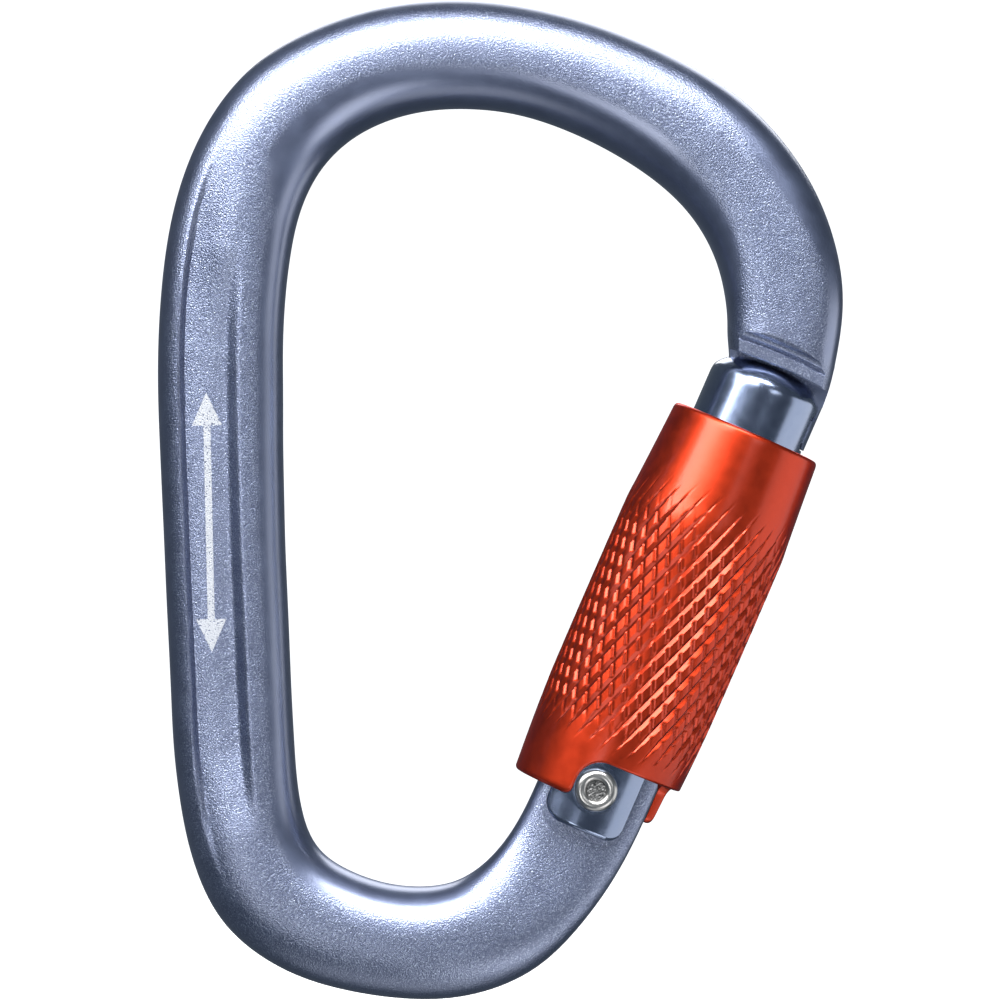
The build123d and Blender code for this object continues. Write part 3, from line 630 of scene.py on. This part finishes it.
def build_rivet(around=128):
    head, side, tail = [], [], []
    for r in np.linspace(0.0, 0.96, 14)[1:]:
        head.append((r, -7.48))
    head += [(1.02, -7.51), (1.07, -7.60), (1.10, -7.70)]
    head += arc3((1.10, -7.70), (1.58, -7.90), (2.20, -7.15), 14)[1:]
    side = [(2.20, -6.40), (2.20, -5.60), (1.60, -5.60), (1.60, 0.0), (1.60, 5.60), (2.00, 5.60), (2.00, 6.00)]
    tail = arc3((2.00, 6.00), (1.8536, 6.3536), (1.50, 6.50), 8)[1:] + [(0.8, 6.50)]
    rings = head + side + tail
    turn = np.arange(around) * 2 * math.pi / around
    dents = []
    for i in range(24):
        reach, angle = 1.02 * math.sqrt((i + 0.5) / 24), i * 2.39996
        dents.append((reach * math.cos(angle), reach * math.sin(angle), 0.12 + 0.05 * ((i * 7) % 5) / 4, 0.07 + 0.06 * ((i * 3) % 4) / 3))
    dents = np.array(dents)

    def dented(x, z, r):
        near = ((x[..., None] - dents[:, 0]) ** 2 + (z[..., None] - dents[:, 1]) ** 2) / dents[:, 2] ** 2
        rough = 0.020 * np.sin(17.3 * x + 9.1 * z) + 0.016 * np.sin(23.7 * z - 13.9 * x + 1.3)
        return ((dents[:, 3] * np.exp(-near)).max(axis=-1) - 0.06 + rough) * (1 - ramp(r, 0.86, 1.10))

    points = []
    for k, (r, y) in enumerate(rings):
        x, z = r * np.cos(turn), r * np.sin(turn)
        lift = dented(x, z, r) if k < len(head) and r < 1.2 and y > -7.8 else np.zeros(around)
        points += np.stack([PIVOT[0] + x, y + lift, PIVOT[2] + z], axis=1).tolist()
    zero = np.zeros(1)
    points.append([PIVOT[0], -7.48 + float(dented(zero, zero, 0.0)[0]), PIVOT[2]])
    points.append([PIVOT[0], 6.50, PIVOT[2]])
    faces = []
    for k in range(len(rings) - 1):
        for i in range(around):
            j = (i + 1) % around
            faces.append((k * around + i, k * around + j, (k + 1) * around + j, (k + 1) * around + i))
    last = (len(rings) - 1) * around
    for i in range(around):
        j = (i + 1) % around
        faces.append((len(rings) * around, j, i))
        faces.append((len(rings) * around + 1, last + i, last + j))
    made = fix_outside(mesh_object("turned_rivet", np.array(points), faces))
    made.data.polygons.foreach_set("use_smooth", [True] * len(made.data.polygons))
    mark_sharp(made.data, 50.0)
    return made


turned_rivet = build_rivet()

# ---------------------------------------------------------------------------
# Materials
# ---------------------------------------------------------------------------


class Look:
    """A node material with the few helpers that these looks need."""

    def __init__(self, name):
        self.material = bpy.data.materials.new(name)
        self.material.use_nodes = True
        self.tree = self.material.node_tree
        self.tree.nodes.clear()
        out = self.tree.nodes.new("ShaderNodeOutputMaterial")
        self.shader = self.tree.nodes.new("ShaderNodeBsdfPrincipled")
        self.join(self.shader, "BSDF", out, "Surface")
        self.place = self.tree.nodes.new("ShaderNodeTexCoord")

    def join(self, a, ao, b, bi):
        self.tree.links.new(a.outputs[ao], b.inputs[bi])

    def value(self, name, v):
        self.shader.inputs[name].default_value = v

    def node(self, kind, **sockets):
        n = self.tree.nodes.new(kind)
        for key, v in sockets.items():
            n.inputs[key].default_value = v
        return n

    def noise(self, scale, detail=2.0, roughness=0.5):
        n = self.node("ShaderNodeTexNoise", Scale=scale, Detail=detail, Roughness=roughness)
        self.join(self.place, "Object", n, "Vector")
        return n.outputs["Fac"]

    def cells(self, scale, randomness=1.0):
        n = self.node("ShaderNodeTexVoronoi", Scale=scale, Randomness=randomness)
        self.join(self.place, "Object", n, "Vector")
        return n.outputs["Distance"]

    def math(self, op, a, b=None, c=None, clamp=False):
        n = self.tree.nodes.new("ShaderNodeMath")
        n.operation = op
        n.use_clamp = clamp
        for i, v in enumerate((a, b, c)):
            if v is None:
                continue
            if isinstance(v, (int, float)):
                n.inputs[i].default_value = v
            else:
                self.tree.links.new(v, n.inputs[i])
        return n.outputs[0]

    def remap(self, v, a, b, c, d):
        n = self.node("ShaderNodeMapRange")
        n.clamp = True
        n.interpolation_type = "SMOOTHSTEP"
        self.tree.links.new(v, n.inputs["Value"])
        for key, w in zip(("From Min", "From Max", "To Min", "To Max"), (a, b, c, d)):
            n.inputs[key].default_value = w
        return n.outputs[0]

    def mix(self, fac, a, b):
        n = self.tree.nodes.new("ShaderNodeMix")
        n.data_type = "RGBA"
        for socket, v in ((n.inputs[0], fac), (n.inputs[6], a), (n.inputs[7], b)):
            if isinstance(v, (int, float)):
                socket.default_value = v
            elif isinstance(v, tuple):
                socket.default_value = (*v, 1.0)
            else:
                self.tree.links.new(v, socket)
        return n.outputs[2]

    def along_axis(self, direction, origin=(0, 0, 0), source=None):
        """Signed distance along a direction from an origin, in metres."""
        sub = self.tree.nodes.new("ShaderNodeVectorMath")
        sub.operation = "SUBTRACT"
        self.tree.links.new(source or self.place.outputs["Object"], sub.inputs[0])
        sub.inputs[1].default_value = tuple(float(v) for v in origin)
        dot = self.tree.nodes.new("ShaderNodeVectorMath")
        dot.operation = "DOT_PRODUCT"
        self.tree.links.new(sub.outputs[0], dot.inputs[0])
        dot.inputs[1].default_value = tuple(float(v) for v in direction)
        return dot.outputs["Value"]

    def bump(self, height, distance, strength=1.0, after=None):
        n = self.tree.nodes.new("ShaderNodeBump")
        n.inputs["Distance"].default_value = distance
        n.inputs["Strength"].default_value = strength
        self.tree.links.new(height, n.inputs["Height"])
        if after is not None:
            self.tree.links.new(after, n.inputs["Normal"])
        return n.outputs["Normal"]

    def feed(self, output, name):
        self.tree.links.new(output, self.shader.inputs[name])


def show(obj, look):
    obj.data.materials.clear()
    obj.data.materials.append(look.material)


# bead-blasted, anodised forging with smoother flanks; on the blasted faces the colour carries painted glints on the
# grain's peaks and painted shade in its pits


def arrow_print(look):
    """A plain double-headed load arrow along the channel: 1 on the print, 0 off it."""
    low, high = Vector((-25.85, 0, -56.4)) * MM, Vector((-26.45, 0, -29.6)) * MM
    along = (high - low).normalized()
    middle, half = (low + high) / 2, (high - low).length / 2
    head, spread, shaft = 3.4 * MM, 0.46, 0.36 * MM
    to_tip = look.math("SUBTRACT", half, look.math("ABSOLUTE", look.along_axis(along, middle)))
    aside = look.math("ABSOLUTE", look.along_axis((along.z, 0, -along.x), middle))
    in_head = look.math("LESS_THAN", to_tip, head)
    limit = look.math("ADD", look.math("MULTIPLY", in_head, look.math("SUBTRACT", look.math("MULTIPLY", to_tip, spread), shaft)), shaft)
    inside = look.remap(look.math("SUBTRACT", limit, aside), -0.04 * MM, 0.04 * MM, 0.0, 1.0)
    inside = look.math("MULTIPLY", inside, look.math("GREATER_THAN", to_tip, 0.0))
    return look.math("MULTIPLY", inside, look.math("LESS_THAN", look.along_axis((0, 1, 0)), 0.0))


def forging_look(name, marked):
    look = Look(name)
    look.value("Coat Weight", 1.0)
    look.value("Coat IOR", 1.95)
    look.value("Coat Roughness", 0.28)
    look.value("Specular Tint", (0.55, 0.58, 0.66, 1.0))
    if marked:
        kept = look.node("ShaderNodeAttribute")
        kept.attribute_name = "blasting"
        kept = kept.outputs["Fac"]
    else:
        kept = look.math("ADD", 1.0, 0.0)
    printed = arrow_print(look)
    fine = look.noise(6300.0, 1.2, 0.5)
    grit = look.noise(12000.0, 1.0, 0.5)
    broad = look.noise(420.0, 3.0, 0.6)
    tone = look.mix(look.remap(broad, 0.3, 0.7, 0.0, 1.0), (0.158, 0.194, 0.328), (0.180, 0.220, 0.360))
    # painted glints: lighter colour where the grain's bump is highest, on the blasted faces only
    painted_glints = look.math("MULTIPLY", look.remap(fine, 0.54, 0.70, 0.0, 0.85), kept)
    tone = look.mix(painted_glints, tone, (0.40, 0.46, 0.62))
    # painted shade: darker colour in the grain's pits, where the bump is lowest, on the blasted faces only
    painted_pit_shade = look.math("MULTIPLY", look.remap(fine, 0.47, 0.32, 0.0, 0.75), kept)
    tone = look.mix(painted_pit_shade, tone, (0.075, 0.10, 0.21))
    printed = look.math("MULTIPLY", printed, look.remap(fine, 0.34, 0.40, 0.0, 1.0))
    look.feed(look.mix(printed, tone, (0.47, 0.49, 0.53)), "Base Color")
    look.feed(look.math("SUBTRACT", 1.0, printed), "Metallic")
    look.feed(look.remap(broad, 0.25, 0.75, 0.36, 0.42), "Roughness")
    height = look.math("MULTIPLY", look.math("ADD", fine, look.math("MULTIPLY", grit, 0.25)), look.math("ADD", look.math("MULTIPLY", kept, 0.93), 0.07))
    dents = look.bump(height, 0.000054, 0.95)
    look.feed(dents, "Normal")
    look.feed(dents, "Coat Normal")
    return look


show(forged_frame, forging_look("frame_anodised", True))
show(nodes["frame"], forging_look("frame_plain", False))

# smooth turned gate in the same colour
gate_look = Look("gate_anodised")
gate_look.value("Metallic", 1.0)
gate_look.value("Coat Weight", 1.0)
gate_look.value("Coat Roughness", 0.17)
gate_look.value("Coat IOR", 1.65)
swirl = gate_look.noise(900.0, 4.0, 0.6)
gate_look.feed(gate_look.mix(gate_look.remap(swirl, 0.3, 0.7, 0.0, 1.0), (0.190, 0.240, 0.368), (0.210, 0.262, 0.392)), "Base Color")
gate_look.feed(gate_look.remap(swirl, 0.3, 0.7, 0.20, 0.25), "Roughness")
gate_look.feed(gate_look.bump(gate_look.noise(3500.0, 2.0, 0.5), 0.000003, 0.2), "Normal")
show(nodes["gate"], gate_look)

# orange-red anodised sleeve
sleeve_look = Look("sleeve_anodised")
sleeve_look.value("Metallic", 1.0)
sleeve_look.value("Coat Weight", 0.50)
sleeve_look.value("Specular Tint", (1.0, 0.30, 0.16, 1.0))
sleeve_look.value("Coat Roughness", 0.20)
sleeve_look.value("Coat IOR", 1.5)
veil = sleeve_look.noise(700.0, 4.0, 0.6)
sleeve_look.feed(sleeve_look.mix(sleeve_look.remap(veil, 0.3, 0.7, 0.0, 1.0), (0.51, 0.036, 0.008), (0.56, 0.043, 0.011)), "Base Color")
sleeve_look.feed(sleeve_look.remap(veil, 0.3, 0.7, 0.38, 0.44), "Roughness")
sleeve_look.feed(sleeve_look.bump(sleeve_look.noise(4200.0, 2.0, 0.5), 0.000010, 0.35), "Normal")
show(sleeve, sleeve_look)
show(nodes["locking_sleeve"], sleeve_look)

# plated rivet with an upset, rough centre
rivet_look = Look("rivet_steel")
rivet_look.value("Metallic", 1.0)
px = rivet_look.along_axis((1, 0, 0), PIVOT * MM)
pz = rivet_look.along_axis((0, 0, 1), PIVOT * MM)
reach = rivet_look.math("SQRT", rivet_look.math("ADD", rivet_look.math("MULTIPLY", px, px), rivet_look.math("MULTIPLY", pz, pz)))
centre = rivet_look.remap(reach, 0.00100, 0.00114, 1.0, 0.0)
dimples = rivet_look.noise(3800.0, 3.0, 0.65)
rivet_look.feed(rivet_look.mix(centre, (0.50, 0.49, 0.475), rivet_look.mix(rivet_look.remap(dimples, 0.35, 0.65, 0.0, 1.0), (0.08, 0.08, 0.08), (0.24, 0.24, 0.24))), "Base Color")
rivet_look.feed(rivet_look.math("ADD", 0.29, rivet_look.math("MULTIPLY", centre, 0.25)), "Roughness")
rivet_look.feed(rivet_look.bump(rivet_look.math("MULTIPLY", dimples, centre), 0.00004, 0.8), "Normal")
show(nodes["hinge_rivet"], rivet_look)
show(turned_rivet, rivet_look)


def steel(name, colour, rough):
    look = Look(name)
    look.value("Metallic", 1.0)
    grain = look.noise(2600.0, 3.0, 0.6)
    look.feed(look.mix(look.remap(grain, 0.3, 0.7, 0.0, 1.0), tuple(0.9 * c for c in colour), colour), "Base Color")
    look.feed(look.remap(grain, 0.3, 0.7, rough, rough + 0.08), "Roughness")
    look.feed(look.bump(grain, 0.000008, 0.3), "Normal")
    return look


spring_look = steel("spring_steel", (0.52, 0.52, 0.54), 0.26)
inner_look = steel("inner_steel", (0.60, 0.60, 0.62), 0.30)
show(nodes["sleeve_spring"], spring_look)
show(nodes["gate_spring"], spring_look)
show(nodes["sleeve_ring"], inner_look)
show(nodes["gate_plunger"], inner_look)

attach(sleeve, "sleeve")
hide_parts("locking_sleeve")
sleeve.visible_glossy = False
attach(forged_frame, "frame")
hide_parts("frame")
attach(turned_rivet, "gate")
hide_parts("hinge_rivet")

# ---------------------------------------------------------------------------
# Floor, light and camera
# ---------------------------------------------------------------------------


def build_floor():
    """A pale sheet that lies flat under the object and rises all round it, far off."""
    rings = [(0.0, 0.0), (0.15, 0.0), (0.4, 0.0), (0.9, 0.0), (1.6, 0.0)]
    rings += [(1.6 + 0.8 * math.sin(a), 0.8 - 0.8 * math.cos(a)) for a in np.linspace(0, math.pi / 2, 12)[1:]]
    rings += [(2.4, 1.4), (2.4, 2.4)]
    around = 72
    points, faces = [(0, 0, 0)], []
    for r, h in rings[1:]:
        for i in range(around):
            a = 2 * math.pi * i / around
            points.append((r * math.cos(a), r * math.sin(a), h))
    for i in range(around):
        faces.append((0, 1 + i, 1 + (i + 1) % around))
    for k in range(len(rings) - 2):
        for i in range(around):
            a, b = 1 + k * around + i, 1 + k * around + (i + 1) % around
            faces.append((a, a + around, b + around, b))
    floor = mesh_object("floor", np.array(points) * 1000 + np.array([3.9, 0, -125.0]), faces, 60)
    look = Look("floor")
    look.value("Roughness", 0.7)
    look.value("Base Color", (0.9, 0.9, 0.9, 1))
    look.value("Emission Color", (1.0, 1.0, 1.0, 1))
    look.value("Emission Strength", 1.0)
    show(floor, look)
    floor.visible_glossy = False
    floor.visible_diffuse = False
    return floor


floor = build_floor()

world = bpy.data.worlds.new("studio")
bpy.context.scene.world = world
world.use_nodes = True
world.node_tree.nodes["Background"].inputs[0].default_value = (0.70, 0.84, 1.0, 1)
world.node_tree.nodes["Background"].inputs[1].default_value = 0.15

AIM = Vector((0.0039, 0.0, -0.0407))


def softbox(name, azimuth, elevation, distance, size, power, colour=(1, 1, 1)):
    """A square light that faces the object. Azimuth 0 is the camera's side, 90 is +X."""
    data = bpy.data.lights.new(name, "AREA")
    data.shape = "RECTANGLE"
    data.size, data.size_y = size
    data.energy = power
    data.color = colour
    light = bpy.data.objects.new(name, data)
    a, e = math.radians(azimuth), math.radians(elevation)
    offset = Vector((math.sin(a) * math.cos(e), -math.cos(a) * math.cos(e), math.sin(e))) * distance
    light.location = AIM + offset
    light.rotation_mode = "QUATERNION"
    light.rotation_quaternion = (-offset).to_track_quat("-Z", "Y")
    light.visible_camera = False
    bpy.context.scene.collection.objects.link(light)
    return light


softbox("key", -34, 35, 0.60, (0.50, 0.26), 4.6)
softbox("upper", 8, 51, 0.60, (0.44, 0.20), 4.0)
softbox("left_high", -62, 50, 0.60, (0.18, 0.20), 0.20)
softbox("front", -16, -14, 0.60, (0.20, 0.18), 0.45)
softbox("front_right", 25, 8, 0.60, (0.18, 0.12), 0.20)
softbox("right_low", 90, -14, 0.60, (0.66, 0.42), 1.10)
softbox("below", 36, -42, 0.60, (0.40, 0.26), 0.75)
softbox("table", 0, -78, 0.60, (0.50, 0.36), 0.40)
softbox("behind", 172, 34, 0.60, (0.50, 0.30), 1.3)

camera_data = bpy.data.cameras.new("camera")
camera_data.sensor_width = 36.0
DISTANCE = 0.60
camera_data.lens = 36.0 * DISTANCE / 0.104
camera_data.clip_start, camera_data.clip_end = 0.05, 20.0
camera = bpy.data.objects.new("camera", camera_data)
bpy.context.scene.collection.objects.link(camera)
camera.location = AIM + Vector((0, -DISTANCE, 0))
camera.rotation_euler = (math.radians(90), 0, 0)
bpy.context.scene.camera = camera
bpy.context.scene.view_settings.view_transform = "Standard"
